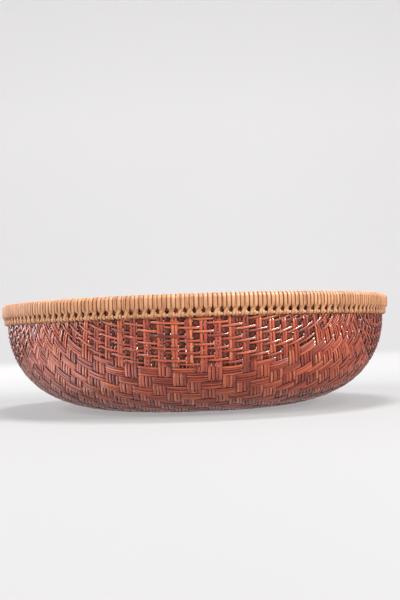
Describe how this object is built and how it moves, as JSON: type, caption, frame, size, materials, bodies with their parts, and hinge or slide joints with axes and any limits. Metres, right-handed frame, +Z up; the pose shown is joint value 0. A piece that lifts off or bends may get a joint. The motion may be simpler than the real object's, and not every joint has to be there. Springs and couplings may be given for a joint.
{
  "type": "woven fruit basket",
  "caption": "Round shallow basket plaited from thin splints, with a rounded base and a wrapped, knotted cane rim, for holding fruit or bread.",
  "frame": {"origin": "middle of the underside of the flat woven base, on the surface the basket stands on", "axes": "+Z up through the middle of the mouth; +X and +Y in the plane of the base, with -Y towards the front"},
  "size_m": [0.33, 0.33, 0.09],
  "materials": {
    "dyed_splint": "glossy reddish-brown lacquered splint with fine grain along its length",
    "natural_rattan": "satin honey-coloured lacquered cane with fine grooves"
  },
  "bodies": {
    "root": {"weft_splints": "dyed_splint", "warp_splints": "dyed_splint", "outer_hoop": "natural_rattan", "inner_hoop": "natural_rattan", "cap_cane": "natural_rattan", "rim_wrapping": "natural_rattan", "outer_stitch_cane": "natural_rattan", "inner_stitch_cane": "natural_rattan", "outer_knots": "natural_rattan", "inner_knots": "natural_rattan", "wrapping_tail": "natural_rattan"}
  },
  "joints": []
}
